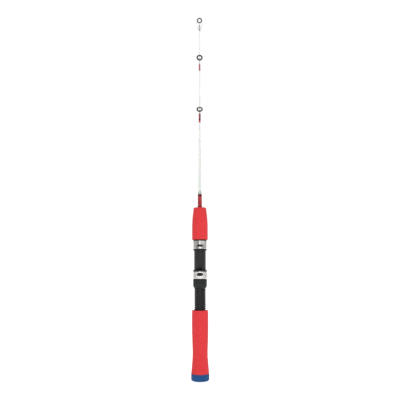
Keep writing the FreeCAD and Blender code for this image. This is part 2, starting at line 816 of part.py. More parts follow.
def main():
    blank = make_blank()
    make_butt_cap()
    make_rear_grip()
    make_pipe()
    make_arbors()
    make_nut()
    make_hoods()
    make_trim_ring()
    make_front_grip()
    doc.recompute()
    make_butt_windings(blank)
    for guide, label in (("lower", "lower_guide_ring"), ("upper", "upper_guide_ring"),
                         ("tip", "tip_top_ring")):
        make_ring(guide, label)
    lower_frame = make_single_foot_frame("lower", "lower_guide_frame", blank)
    upper_frame = make_single_foot_frame("upper", "upper_guide_frame", blank)
    make_guide_windings(blank, lower_frame, upper_frame)
    tube = make_tip_tube()
    doc.recompute()
    make_tip_frame(tube)
    check_and_export()


main()
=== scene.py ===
"""Looks of the ice fishing rod.

The rod stands on its butt cap. +Z runs up to the tip and the reel's side faces -Y. Every class
below is one sub-assembly of the rod, with its sizes in millimetres as fields. A mesh is worked in
millimetres and handed over in metres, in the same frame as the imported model.
"""
import logging
import math
from dataclasses import dataclass, field
from enum import Enum
from typing import Callable, Iterable, Sequence

import bmesh
import bpy
from mathutils import Matrix, Vector, noise
from mathutils.geometry import interpolate_bezier


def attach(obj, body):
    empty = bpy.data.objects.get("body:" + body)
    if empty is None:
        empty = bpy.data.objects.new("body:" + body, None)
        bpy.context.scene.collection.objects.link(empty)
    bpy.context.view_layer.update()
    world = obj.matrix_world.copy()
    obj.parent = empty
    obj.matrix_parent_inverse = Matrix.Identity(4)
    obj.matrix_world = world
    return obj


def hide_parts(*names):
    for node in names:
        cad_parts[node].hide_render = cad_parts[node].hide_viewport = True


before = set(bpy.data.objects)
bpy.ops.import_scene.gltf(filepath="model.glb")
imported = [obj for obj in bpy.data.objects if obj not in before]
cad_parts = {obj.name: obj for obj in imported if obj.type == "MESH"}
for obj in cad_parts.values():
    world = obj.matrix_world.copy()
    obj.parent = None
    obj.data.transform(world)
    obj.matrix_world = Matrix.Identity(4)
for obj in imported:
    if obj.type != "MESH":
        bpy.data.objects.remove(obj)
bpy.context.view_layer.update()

LOG = logging.getLogger("ice_fishing_rod")
MM = 0.001
FULL_TURN = 2 * math.pi
COPY_MERGE = 0.0005
SEAM_MERGE = 0.0001
CORNER_REACH = 0.005
NEAR_AXIS = 1e-6

Station = tuple[float, float]
Colour = tuple[float, float, float]


class Body(Enum):
    """The bodies that the rod's pieces ride on."""

    ROD = "rod"
    SLIDER = "sliding_hood_assembly"
    NUT = "locking_nut_body"


class Slot(Enum):
    """The record's material slots."""

    BLANK = "blank"
    CAP = "butt_cap"
    FOAM = "grip_foam"
    SEAT = "seat_plastic"
    NUT = "nut_plastic"
    LINER = "liner_plastic"
    TRIM = "trim"
    HOOD = "hood_steel"
    RED_THREAD = "red_thread"
    DARK_THREAD = "dark_thread"
    CERAMIC = "ring_ceramic"
    GUIDE = "guide_steel"


class WindowShape(Enum):
    """Shapes of the opening stamped in the front of a hood."""

    EYE = "eye"
    SLOT = "slot"


# ---------------------------------------------------------------- finishes

class Wiring:
    """A new material and short ways to wire its nodes."""

    def __init__(self, name: str) -> None:
        """Start a material of one Principled shader.

        Args:
            name: The material's name.
        """
        self.material = bpy.data.materials.new(name)
        self.material.use_nodes = True
        self.tree = self.material.node_tree
        self.surface = self.tree.nodes["Principled BSDF"]

    def node(self, kind: str, **settings: object) -> bpy.types.Node:
        """Add a node and set its properties.

        Args:
            kind: The node's type, less its ShaderNode prefix.
            settings: Properties of the node.

        Returns:
            The new node.
        """
        new = self.tree.nodes.new("ShaderNode" + kind)
        for name, value in settings.items():
            setattr(new, name, value)
        return new

    def feed(self, target: bpy.types.NodeSocket, source: object) -> None:
        """Link a socket to another, or set its value.

        Args:
            target: The input socket.
            source: An output socket or a plain value.
        """
        if isinstance(source, bpy.types.NodeSocket):
            self.tree.links.new(source, target)
        else:
            target.default_value = source

    def places(self, stretch: Sequence[float] = (1, 1, 1)) -> bpy.types.NodeSocket:
        """Object coordinates, stretched along each axis.

        Args:
            stretch: How much finer the pattern is along X, Y and Z.

        Returns:
            The vector socket.
        """
        mapping = self.node("Mapping")
        mapping.inputs["Scale"].default_value = stretch
        self.feed(mapping.inputs["Vector"], self.node("TexCoord").outputs["Object"])
        return mapping.outputs["Vector"]

    def grain(self, per_metre: float, stretch: Sequence[float] = (1, 1, 1),
              detail: float = 2.0) -> bpy.types.NodeSocket:
        """Noise of a given fineness.

        Args:
            per_metre: Grains in a metre.
            stretch: How much finer it is along each axis.
            detail: Layers of finer noise.

        Returns:
            The factor socket, about 0.3 to 0.7.
        """
        new = self.node("TexNoise")
        self.feed(new.inputs["Vector"], self.places(stretch))
        self.feed(new.inputs["Scale"], per_metre)
        self.feed(new.inputs["Detail"], detail)
        return new.outputs["Fac"]

    def cells(self, per_metre: float) -> bpy.types.NodeSocket:
        """Distance to the middle of small cells, as in closed foam.

        Args:
            per_metre: Cells in a metre.

        Returns:
            The distance socket.
        """
        new = self.node("TexVoronoi")
        self.feed(new.inputs["Vector"], self.places())
        self.feed(new.inputs["Scale"], per_metre)
        return new.outputs["Distance"]

    def spread(self, factor: bpy.types.NodeSocket, low: float, high: float,
               start: float = 0.3, end: float = 0.7) -> bpy.types.NodeSocket:
        """Map a factor to a range.

        Args:
            factor: The source socket.
            low: The value at start.
            high: The value at end.
            start: The factor that gives low.
            end: The factor that gives high.

        Returns:
            The mapped socket.
        """
        new = self.node("MapRange")
        for name, value in (("Value", factor), ("From Min", start), ("From Max", end),
                            ("To Min", low), ("To Max", high)):
            self.feed(new.inputs[name], value)
        return new.outputs["Result"]

    def blend(self, factor: bpy.types.NodeSocket, first: object, second: object) -> bpy.types.NodeSocket:
        """Mix two colours.

        Args:
            factor: How much of the second one shows.
            first: A colour or a socket.
            second: A colour or a socket.

        Returns:
            The colour socket.
        """
        new = self.node("Mix", data_type="RGBA")
        self.feed(new.inputs["Factor"], factor)
        for socket, colour in ((new.inputs[6], first), (new.inputs[7], second)):
            linked = isinstance(colour, bpy.types.NodeSocket)
            self.feed(socket, colour if linked else (*colour, 1.0))
        return new.outputs[2]

    def sum(self, first: bpy.types.NodeSocket, second: bpy.types.NodeSocket,
            share: float) -> bpy.types.NodeSocket:
        """Add a share of one height to another.

        Args:
            first: The main height.
            second: The height that is added.
            share: How much of it is added.

        Returns:
            The height socket.
        """
        new = self.node("Math", operation="MULTIPLY_ADD")
        self.feed(new.inputs[0], second)
        self.feed(new.inputs[1], share)
        self.feed(new.inputs[2], first)
        return new.outputs["Value"]

    def relief(self, height: bpy.types.NodeSocket, depth: float, strength: float = 1.0) -> None:
        """Give the surface a fine relief.

        Args:
            height: The height, about 0 to 1.
            depth: Its depth in metres.
            strength: How much of it is used.
        """
        new = self.node("Bump")
        self.feed(new.inputs["Height"], height)
        self.feed(new.inputs["Distance"], depth)
        self.feed(new.inputs["Strength"], strength)
        self.feed(self.surface.inputs["Normal"], new.outputs["Normal"])

    def set(self, **values: object) -> None:
        """Set or link the shader's own sockets.

        Args:
            values: Values or sockets, with the socket's name in lower case and underscores.
        """
        for socket in self.surface.inputs:
            key = socket.name.lower().replace(" ", "_")
            if key in values:
                value = values[key]
                if key == "base_color" and isinstance(value, tuple):
                    value = (*value, 1.0)
                self.feed(socket, value)


@dataclass(frozen=True)
class Finish:
    """A finish, made once and shared by the pieces that wear it."""

    name: str

    def material(self) -> bpy.types.Material:
        """The finish's material, made on first use.

        Returns:
            The material.
        """
        found = bpy.data.materials.get(self.name)
        if found:
            return found
        wiring = Wiring(self.name)
        self.wire(wiring)
        return wiring.material

    def wire(self, wiring: Wiring) -> None:
        """Wire the finish's nodes.

        Args:
            wiring: The new material.
        """
        raise NotImplementedError


@dataclass(frozen=True)
class ClosedCellFoam(Finish):
    """Turned and sanded closed-cell foam: cells, sanding rings, soft colour changes and painted shade in
    the cells' hollows.
    """

    colour: Colour
    mottle_and_pore_shade: Colour
    cells_per_metre: float = 2300.0

    def wire(self, wiring: Wiring) -> None:
        """Wire the foam.

        Args:
            wiring: The new material.
        """
        cells = wiring.cells(self.cells_per_metre)
        mottle = wiring.grain(420, detail=4.0)
        rings = wiring.grain(1100, (0.04, 0.04, 1), 2.0)
        tone = wiring.blend(wiring.spread(mottle, 0.0, 0.55), self.colour, self.mottle_and_pore_shade)
        # Painted shade: the colour darkens towards the darker foam tone where the cells' relief sinks, as
        # if shade lay in the pores.
        painted_pore_shade = wiring.spread(cells, 0.0, 0.4, 0.55, 0.85)
        wiring.set(
            base_color=wiring.blend(painted_pore_shade, tone, self.mottle_and_pore_shade),
            roughness=wiring.spread(mottle, 0.74, 0.9),
            specular_ior_level=0.22,
            sheen_weight=0.05,
            sheen_roughness=0.5,
        )
        height = wiring.sum(wiring.spread(cells, 1.0, 0.0, 0.1, 0.8), rings, 0.9)
        wiring.relief(height, 0.00006, 0.7)


@dataclass(frozen=True)
class MouldedPlastic(Finish):
    """Moulded plastic with a faint grain, flow marks and handling scuffs."""

    colour: Colour
    worn: Colour
    roughness: float
    grain_depth: float = 0.00001
    shine: float = 0.25

    def wire(self, wiring: Wiring) -> None:
        """Wire the plastic.

        Args:
            wiring: The new material.
        """
        flow = wiring.grain(90, (1, 1, 0.35), 3.0)
        scuffs = wiring.grain(600, (1, 1, 0.12), 5.0)
        grain = wiring.grain(5200, detail=1.0)
        wiring.set(
            base_color=wiring.blend(wiring.spread(scuffs, 0.0, 0.8, 0.48, 0.72), self.colour, self.worn),
            roughness=wiring.sum(wiring.spread(flow, self.roughness - 0.05, self.roughness + 0.05),
                                 wiring.spread(scuffs, -0.5, 0.5), 0.08),
            specular_ior_level=self.shine,
        )
        wiring.relief(wiring.sum(grain, scuffs, 0.6), self.grain_depth, 0.6)


@dataclass(frozen=True)
class PressedSteel(Finish):
    """Stainless steel with fine polishing lines round the rod and faint cloudy patches."""

    colour: Colour
    roughness: float
    lines_per_metre: float = 5200.0
    cloud_shade: float = 0.82

    def wire(self, wiring: Wiring) -> None:
        """Wire the steel.

        Args:
            wiring: The new material.
        """
        lines = wiring.grain(self.lines_per_metre, (0.03, 0.03, 1), 3.0)
        clouds = wiring.grain(160, detail=3.0)
        darker = tuple(part * self.cloud_shade for part in self.colour)
        wiring.set(
            base_color=wiring.blend(wiring.spread(clouds, 0.0, 1.0), self.colour, darker),
            metallic=1.0,
            roughness=wiring.sum(wiring.spread(lines, self.roughness - 0.06, self.roughness + 0.06),
                                 wiring.spread(clouds, -0.5, 0.5), 0.08),
        )
        wiring.relief(lines, 0.000002, 0.5)


@dataclass(frozen=True)
class PolishedCeramic(Finish):
    """Dense ceramic, ground and polished, with faint grinding rings."""

    colour: Colour
    roughness: float = 0.24

    def wire(self, wiring: Wiring) -> None:
        """Wire the ceramic.

        Args:
            wiring: The new material.
        """
        specks = wiring.grain(3800, detail=3.0)
        clouds = wiring.grain(300, detail=2.0)
        paler = tuple(min(1.0, part * 1.5 + 0.01) for part in self.colour)
        wiring.set(
            base_color=wiring.blend(wiring.spread(specks, 0.0, 0.5, 0.45, 0.75), self.colour, paler),
            roughness=wiring.spread(clouds, self.roughness - 0.04, self.roughness + 0.06),
            specular_ior_level=0.3,
            coat_weight=0.08,
            coat_roughness=0.08,
        )
        wiring.relief(specks, 0.0000015, 0.5)


@dataclass(frozen=True)
class WoundThread(Finish):
    """Nylon winding thread: filaments along each turn and small changes from turn to turn."""

    colour: Colour
    shade: Colour

    def wire(self, wiring: Wiring) -> None:
        """Wire the thread.

        Args:
            wiring: The new material.
        """
        turns = wiring.grain(4500, (0.02, 0.02, 1), 1.0)
        filaments = wiring.grain(16000, (0.06, 0.06, 1), 2.0)
        tone = wiring.blend(wiring.spread(turns, 0.0, 0.8), self.colour, self.shade)
        wiring.set(
            base_color=wiring.blend(wiring.spread(filaments, 0.0, 0.5, 0.5, 0.75), tone, self.shade),
            roughness=wiring.spread(filaments, 0.35, 0.55),
            sheen_weight=0.06,
            sheen_roughness=0.4,
        )
        wiring.relief(filaments, 0.00002, 0.6)


@dataclass(frozen=True)
class ClearEpoxy(Finish):
    """Clear finishing resin, a little uneven where it was brushed on and turned."""

    tint: Colour
    dust_shade: float = 0.93

    def wire(self, wiring: Wiring) -> None:
        """Wire the resin.

        Args:
            wiring: The new material.
        """
        flow = wiring.grain(450, (1, 1, 0.5), 2.0)
        dust = wiring.grain(2600, detail=1.0)
        cloudy = tuple(part * self.dust_shade for part in self.tint)
        wiring.set(
            base_color=wiring.blend(wiring.spread(dust, 0.0, 0.6, 0.55, 0.75), self.tint, cloudy),
            roughness=wiring.spread(flow, 0.10, 0.18),
            transmission_weight=1.0,
            ior=1.36,
        )
        wiring.relief(flow, 0.00002, 0.5)


@dataclass(frozen=True)
class GlassFibre(Finish):
    """Solid glass-fibre blank: fibres along it, faint tape marks round it, greener at the butt."""

    butt_colour: Colour
    tip_colour: Colour
    fade_start: float = 0.27
    fade_end: float = 0.50
    fibre_colour: Colour = (0.62, 0.67, 0.62)
    tape_colour: Colour = (0.70, 0.72, 0.68)

    def wire(self, wiring: Wiring) -> None:
        """Wire the blank.

        Args:
            wiring: The new material.
        """
        split = wiring.node("SeparateXYZ")
        wiring.feed(split.inputs["Vector"], wiring.places())
        rise = wiring.spread(split.outputs["Z"], 0.0, 1.0, self.fade_start, self.fade_end)
        fibres = wiring.grain(5200, (1, 1, 0.012), 3.0)
        tape = wiring.grain(620, (0.05, 0.05, 1), 2.0)
        ground = wiring.blend(rise, self.butt_colour, self.tip_colour)
        veined = wiring.blend(wiring.spread(fibres, 0.0, 0.35, 0.45, 0.75), ground, self.fibre_colour)
        wiring.set(
            base_color=wiring.blend(wiring.spread(tape, 0.0, 0.2), veined, self.tape_colour),
            roughness=wiring.spread(fibres, 0.28, 0.42),
            subsurface_weight=0.15,
            subsurface_scale=0.001,
            coat_weight=0.4,
            coat_roughness=0.12,
        )
        wiring.relief(wiring.sum(fibres, tape, 0.8), 0.000012, 0.7)


@dataclass(frozen=True)
class StudioPaper(Finish):
    """Plain pale paper for the floor."""

    colour: Colour
    glow: float

    def wire(self, wiring: Wiring) -> None:
        """Wire the paper.

        Args:
            wiring: The new material.
        """
        fibres = wiring.grain(900, detail=3.0)
        wiring.set(
            base_color=wiring.blend(wiring.spread(fibres, 0.0, 0.2), self.colour, (0.9, 0.9, 0.9)),
            roughness=1.0,
            specular_ior_level=0.0,
            emission_color=(1.0, 1.0, 1.0, 1.0),
            emission_strength=self.glow,
        )


RED_FOAM = ClosedCellFoam("red_grip_foam", (0.75, 0.046, 0.050), (0.62, 0.031, 0.036))
TAN_FOAM = ClosedCellFoam("tan_arbor_foam", (0.55, 0.42, 0.26), (0.40, 0.30, 0.18))
BLUE_RUBBER = MouldedPlastic("blue_cap_rubber", (0.003, 0.064, 0.21), (0.009, 0.082, 0.24), 0.55, 0.00002)
SATIN_BLACK = MouldedPlastic("satin_black_plastic", (0.009, 0.009, 0.0095), (0.016, 0.016, 0.017), 0.38,
                             shine=0.27)
NUT_BLACK = MouldedPlastic("black_nut_plastic", (0.011, 0.013, 0.0125), (0.02, 0.023, 0.022), 0.46, 0.00002)
LINER_BLACK = MouldedPlastic("black_liner_plastic", (0.010, 0.010, 0.011), (0.020, 0.020, 0.021), 0.5)
TRIM_BLACK = MouldedPlastic("gloss_black_trim", (0.010, 0.010, 0.011), (0.018, 0.018, 0.019), 0.25)
CHECK_RUBBER = MouldedPlastic("dark_red_check_rubber", (0.20, 0.014, 0.020), (0.26, 0.024, 0.030), 0.5)
HOOD_STEEL = PressedSteel("polished_hood_steel", (0.72, 0.71, 0.69), 0.32)
GUIDE_STEEL = PressedSteel("polished_guide_steel", (0.86, 0.84, 0.825), 0.26, 9000.0)
RING_CERAMIC = PolishedCeramic("charcoal_ceramic", (0.020, 0.020, 0.022))
TIP_CERAMIC = PolishedCeramic("grey_ceramic", (0.060, 0.060, 0.063))
CRIMSON_THREAD = WoundThread("crimson_thread", (0.68, 0.012, 0.030), (0.50, 0.007, 0.018))
ROSE_THREAD = WoundThread("rose_thread", (0.66, 0.21, 0.24), (0.52, 0.14, 0.17))
BRIGHT_THREAD = WoundThread("bright_red_thread", (0.78, 0.020, 0.05), (0.60, 0.012, 0.035))
DULL_THREAD = WoundThread("dull_red_thread", (0.52, 0.055, 0.075), (0.38, 0.032, 0.048))
DARK_THREAD = WoundThread("dark_thread", (0.040, 0.030, 0.032), (0.022, 0.016, 0.018))
EPOXY = ClearEpoxy("clear_winding_epoxy", (0.97, 0.975, 0.95))
GLASS = GlassFibre("white_glass_fibre", (0.70, 0.76, 0.71), (0.83, 0.83, 0.81))
PAPER = StudioPaper("pale_studio_paper", (0.95, 0.95, 0.95), 0.55)


# ---------------------------------------------------------------- shaping

def flowing(stations: Sequence[Station], parts: int) -> list[Station]:
    """A smooth outline through a few stations.

    Args:
        stations: Radius and height of each station.
        parts: Into how many parts each stretch between stations is divided.

    Returns:
        The outline's points, with the first and last station among them.
    """
    knots = [Vector((radius, height)) for radius, height in stations]
    slopes = [(after - before) / 2 for before, after in zip(knots, knots[2:])]
    slopes = [knots[1] - knots[0]] + slopes + [knots[-1] - knots[-2]]
    points: list[Station] = []
    for index, (start, end) in enumerate(zip(knots, knots[1:])):
        reach = [slope.normalized() * (end - start).length / 3 for slope in slopes[index:index + 2]]
        curve = interpolate_bezier(start, start + reach[0], end - reach[1], end, parts + 1)
        points += [(point.x, point.y) for point in curve[:-1]]
    return points + [tuple(stations[-1])]


def arc(centre: Station, radius: float, start: float, end: float, parts: int) -> list[Station]:
    """Points of an arc in a half-section.

    Args:
        centre: Its middle, as radius and height.
        radius: Its own radius.
        start: The first angle in degrees, from outwards, turning towards up.
        end: The last angle in degrees.
        parts: Into how many parts it is divided.

    Returns:
        The arc's points.
    """
    turns = (math.radians(start + (end - start) * step / parts) for step in range(parts + 1))
    return [(centre[0] + radius * math.cos(turn), centre[1] + radius * math.sin(turn)) for turn in turns]


class Workpiece:
    """A mesh under construction, in millimetres."""

    def __init__(self) -> None:
        """Start with an empty mesh."""
        self.bm = bmesh.new()

    @classmethod
    def copied_from(cls, node: str) -> "Workpiece":
        """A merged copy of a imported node.

        Args:
            node: The node's name.

        Returns:
            The copy, in millimetres.
        """
        work = cls()
        work.bm.from_mesh(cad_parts[node].data)
        bmesh.ops.scale(work.bm, vec=Vector((1, 1, 1)) / MM, verts=work.bm.verts)
        bmesh.ops.remove_doubles(work.bm, verts=work.bm.verts, dist=COPY_MERGE)
        return work

    def turn(self, section: Sequence[Station], steps: int, closed: bool = True) -> "Workpiece":
        """Turn a half-section about the rod's axis.

        Args:
            section: Radius and height of each of its points.
            steps: Facets in a full turn.
            closed: Whether the last point joins the first.

        Returns:
            The workpiece.
        """
        old = set(self.bm.verts)
        spots = [self.bm.verts.new((radius, 0, height)) for radius, height in section]
        pairs = list(zip(spots, spots[1:])) + ([(spots[-1], spots[0])] if closed else [])
        edges = [self.bm.edges.new(pair) for pair in pairs]
        bmesh.ops.spin(self.bm, geom=spots + edges, cent=(0, 0, 0), axis=(0, 0, 1), dvec=(0, 0, 0),
                       angle=FULL_TURN, steps=steps, use_merge=True, use_normal_flip=False,
                       use_duplicate=False)
        fresh = [spot for spot in self.bm.verts if spot not in old]
        bmesh.ops.remove_doubles(self.bm, verts=fresh, dist=SEAM_MERGE)
        bmesh.ops.recalc_face_normals(self.bm, faces=self.bm.faces)
        return self

    def soften(self, radius: float, height: float, width: float, segments: int = 3) -> "Workpiece":
        """Round the ring of edges at one corner of a turned section.

        Args:
            radius: The corner's radius.
            height: The corner's height.
            width: How far the rounding reaches.
            segments: Its facets.

        Returns:
            The workpiece.
        """
        def on_corner(spot: bmesh.types.BMVert) -> bool:
            """Whether a point lies on the corner's ring.

            Args:
                spot: The point.

            Returns:
                True if it does.
            """
            aside, above = spot.co.xy.length - radius, spot.co.z - height
            return abs(aside) < CORNER_REACH and abs(above) < CORNER_REACH

        edges = [edge for edge in self.bm.edges if all(on_corner(spot) for spot in edge.verts)]
        bmesh.ops.bevel(self.bm, geom=edges, offset=width, offset_type="OFFSET", affect="EDGES",
                        segments=segments, profile=0.5, material=-1, clamp_overlap=True)
        return self

    def roughen(self, cell: float, depth: float, beyond: float) -> "Workpiece":
        """Move the outer skin in and out a little, as sanding leaves it.

        Args:
            cell: Size of one hollow.
            depth: How far a point may move.
            beyond: The skin lies further than this from the axis.

        Returns:
            The workpiece.
        """
        self.bm.normal_update()
        for spot in self.bm.verts:
            if spot.co.xy.length > beyond:
                spot.co += spot.normal * (depth * noise.noise(spot.co / cell))
        return self

    def swell(self, forward: Callable[[float], float]) -> "Workpiece":
        """Push the front outwards, as where thread runs over a guide's foot.

        Args:
            forward: How far the front is pushed, for a height.

        Returns:
            The workpiece.
        """
        for spot in self.bm.verts:
            facing = -spot.co.y / max(spot.co.xy.length, NEAR_AXIS)
            if facing > 0:
                spot.co.y -= forward(spot.co.z) * facing
        return self

    def ring(self, height: float, reach: Callable[[float], float],
             segments: int) -> list[bmesh.types.BMEdge]:
        """A level loop of edges.

        Args:
            height: Its height.
            reach: Its distance from the axis, for an angle from the front.
            segments: Its edges.

        Returns:
            The loop's edges.
        """
        made = bmesh.ops.create_circle(self.bm, cap_ends=False, segments=segments, radius=1.0)
        for spot in made["verts"]:
            angle = math.atan2(spot.co.x, -spot.co.y)
            spot.co = spot.co.normalized() * reach(angle) + Vector((0, 0, height))
        return list({edge for spot in made["verts"] for edge in spot.link_edges})

    def bridge(self, loops: Sequence[Sequence[bmesh.types.BMEdge]]) -> "Workpiece":
        """Join loops of edges, one to the next.

        Args:
            loops: The loops in order.

        Returns:
            The workpiece.
        """
        for near, far in zip(loops, loops[1:]):
            bmesh.ops.bridge_loops(self.bm, edges=[*near, *far])
        return self

    def placed(self, matrix: Matrix) -> "Workpiece":
        """Move the whole mesh.

        Args:
            matrix: The move, in millimetres.

        Returns:
            The workpiece.
        """
        bmesh.ops.transform(self.bm, matrix=matrix, verts=self.bm.verts)
        return self

    def handed_over(self, name: str) -> bpy.types.Object:
        """End the work and make the object.

        Args:
            name: The object's name.

        Returns:
            The object, in metres.
        """
        bmesh.ops.scale(self.bm, vec=Vector((1, 1, 1)) * MM, verts=self.bm.verts)
        mesh = bpy.data.meshes.new(name)
        self.bm.to_mesh(mesh)
        self.bm.free()
        piece = bpy.data.objects.new(name, mesh)
        bpy.context.scene.collection.objects.link(piece)
        return piece


def applied(piece: bpy.types.Object) -> bpy.types.Object:
    """Turn a piece's modifiers into plain mesh.

    Args:
        piece: The piece.

    Returns:
        The same piece.
    """
    graph = bpy.context.evaluated_depsgraph_get()
    graph.update()
    mesh = bpy.data.meshes.new_from_object(piece.evaluated_get(graph))
    piece.modifiers.clear()
    piece.data = mesh
    return piece


def shaded(piece: bpy.types.Object, crease: float = 35.0) -> bpy.types.Object:
    """Shade a piece smoothly, apart from its creases.

    Args:
        piece: The piece.
        crease: The angle from which an edge stays sharp, in degrees.

    Returns:
        The same piece.
    """
    piece.data.polygons.foreach_set("use_smooth", [True] * len(piece.data.polygons))
    piece.data.set_sharp_from_angle(angle=math.radians(crease))
    return piece


@dataclass
class SubAssembly:
    """A part of the rod that dresses its own pieces."""

    def dress(self, piece: bpy.types.Object, finish: Finish, body: Body, slot: Slot,
              nodes: Iterable[str] = ()) -> bpy.types.Object:
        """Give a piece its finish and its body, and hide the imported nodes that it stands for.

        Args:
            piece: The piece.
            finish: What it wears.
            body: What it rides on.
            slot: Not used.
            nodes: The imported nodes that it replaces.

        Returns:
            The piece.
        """
        piece.data.materials.clear()
        piece.data.materials.append(finish.material())
        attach(piece, body.value)
        for node in nodes:
            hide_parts(node)
        LOG.info("%s: %d faces on %s", piece.name, len(piece.data.polygons), body.value)
        return piece

    def refined_copy(self, node: str, name: str, crease: float = 32.0) -> bpy.types.Object:
        """A smoothly shaded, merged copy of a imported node.

        Args:
            node: The node's name.
            name: The copy's name.
            crease: The angle from which an edge stays sharp, in degrees.

        Returns:
            The copy.
        """
        return shaded(Workpiece.copied_from(node).handed_over(name), crease)

    def build(self) -> None:
        """Build every piece of the sub-assembly."""
        raise NotImplementedError


# ---------------------------------------------------------------- handle

@dataclass
class ButtCap(SubAssembly):
    """Moulded rubber cap that the rod stands on."""

    radius: float = 14.1
    top: float = 10.6
    foot_round: float = 2.5
    rim_round: float = 0.5
    socket_radius: float = 9.0
    socket_floor: float = 5.6
    witness_height: float = 3.1
    witness_depth: float = 0.06
    witness_half: float = 0.15
    tread_radii: tuple[float, ...] = (4.0, 6.5, 9.0)
    tread_width: float = 0.8
    tread_depth: float = 0.35
    steps: int = 160

    def tread(self) -> list[Station]:
        """The underside from the axis outwards, with ring-shaped grooves.

        Returns:
            The points of the half-section.
        """
        points: list[Station] = [(0.0, 0.0)]
        for radius in self.tread_radii:
            half = self.tread_width / 2
            points += [(radius - half, 0.0), (radius - half / 2, self.tread_depth),
                       (radius + half / 2, self.tread_depth), (radius + half, 0.0)]
        return points

    def build(self) -> None:
        """Turn the cap and replace its node."""
        foot, depth = self.foot_round, self.witness_depth
        line, half = self.witness_height, self.witness_half
        section = self.tread()
        section += arc((self.radius - foot, foot), foot, -90, 0, 10)
        section += [(self.radius, line - half), (self.radius - depth, line), (self.radius, line + half)]
        section += arc((self.radius - self.rim_round, self.top - self.rim_round), self.rim_round, 0, 90, 4)
        section += [(self.socket_radius, self.top), (self.socket_radius, self.socket_floor),
                    (0.0, self.socket_floor)]
        piece = Workpiece().turn(section, self.steps, closed=False).handed_over("butt_cap_moulding")
        self.dress(shaded(piece), BLUE_RUBBER, Body.ROD, Slot.CAP, ["butt_cap"])


@dataclass
class FoamGrip(SubAssembly):
    """A turned foam grip: its outer outline flows through a few stations."""

    node: str
    inner: Sequence[Station]
    outer: Sequence[Station]
    parts: int = 9
    steps: int = 150
    foot_round: float = 0.4
    top_round: float = 0.8
    skin_radius: float = 9.8
    hollow_size: float = 1.3
    hollow_depth: float = 0.035

    def build(self) -> None:
        """Turn the grip, round its edges and roughen its skin."""
        work = Workpiece().turn([*self.inner, *flowing(self.outer, self.parts)], self.steps)
        work.soften(*self.outer[0], self.foot_round)
        work.soften(*self.outer[-1], self.top_round, 4)
        work.roughen(self.hollow_size, self.hollow_depth, self.skin_radius)
        piece = shaded(work.handed_over(self.node + "_foam"), crease=50)
        self.dress(piece, RED_FOAM, Body.ROD, Slot.FOAM, [self.node])


@dataclass
class TrimRing(SubAssembly):
    """Gloss ring between the reel seat and the front grip."""

    bore: float = 2.85
    spigot_radius: float = 6.25
    spigot_end: float = 213.0
    start: float = 216.02
    end: float = 217.5
    radius: float = 11.3
    edge_round: float = 0.35
    steps: int = 144

    def build(self) -> None:
        """Turn the ring and replace its node."""
        section = [(self.bore, self.spigot_end), (self.spigot_radius, self.spigot_end),
                   (self.spigot_radius, self.start), (self.radius, self.start),
                   (self.radius, self.end), (self.bore, self.end)]
        work = Workpiece().turn(section, self.steps)
        work.soften(self.radius, self.start, self.edge_round).soften(self.radius, self.end, self.edge_round)
        piece = shaded(work.handed_over("trim_ring_turned"))
        self.dress(piece, TRIM_BLACK, Body.ROD, Slot.TRIM, ["trim_ring"])


# ---------------------------------------------------------------- reel seat

@dataclass
class Window:
    """The opening in the front of a hood."""

    shape: WindowShape
    height: float
    half_width: float
    half_height: float
    front: float = 15.0
    back: float = 9.4
    corner_round: float = 0.9
    corner_segments: int = 6
    segments: int = 96

    def cutter(self) -> bpy.types.Object:
        """The solid that is taken away from the hood.

        Returns:
            The cutter, in metres.
        """
        work = Workpiece()
        depth = self.front - self.back
        if self.shape is WindowShape.EYE:
            upright = Matrix.Rotation(math.pi / 2, 4, "X")
            made = bmesh.ops.create_circle(work.bm, cap_ends=True, segments=self.segments, radius=1.0,
                                           matrix=upright)
            bmesh.ops.scale(work.bm, vec=(self.half_width, 1, self.half_height), verts=made["verts"])
            pulled = bmesh.ops.extrude_face_region(work.bm, geom=work.bm.faces[:])
            spots = [item for item in pulled["geom"] if isinstance(item, bmesh.types.BMVert)]
            bmesh.ops.translate(work.bm, vec=(0, depth, 0), verts=spots)
            bmesh.ops.translate(work.bm, vec=(0, -self.front, self.height), verts=work.bm.verts)
        else:
            bmesh.ops.create_cube(work.bm, size=1.0)
            bmesh.ops.scale(work.bm, vec=(2 * self.half_width, depth, 2 * self.half_height),
                            verts=work.bm.verts)
            level = [edge for edge in work.bm.edges if abs(edge.verts[0].co.y - edge.verts[1].co.y) > 1]
            bmesh.ops.bevel(work.bm, geom=level, offset=self.corner_round, affect="EDGES",
                            segments=self.corner_segments, profile=0.5, material=-1)
            bmesh.ops.translate(work.bm, vec=(0, -(self.front + self.back) / 2, self.height),
                                verts=work.bm.verts)
        bmesh.ops.recalc_face_normals(work.bm, faces=work.bm.faces)
        return work.handed_over("window_cutter")


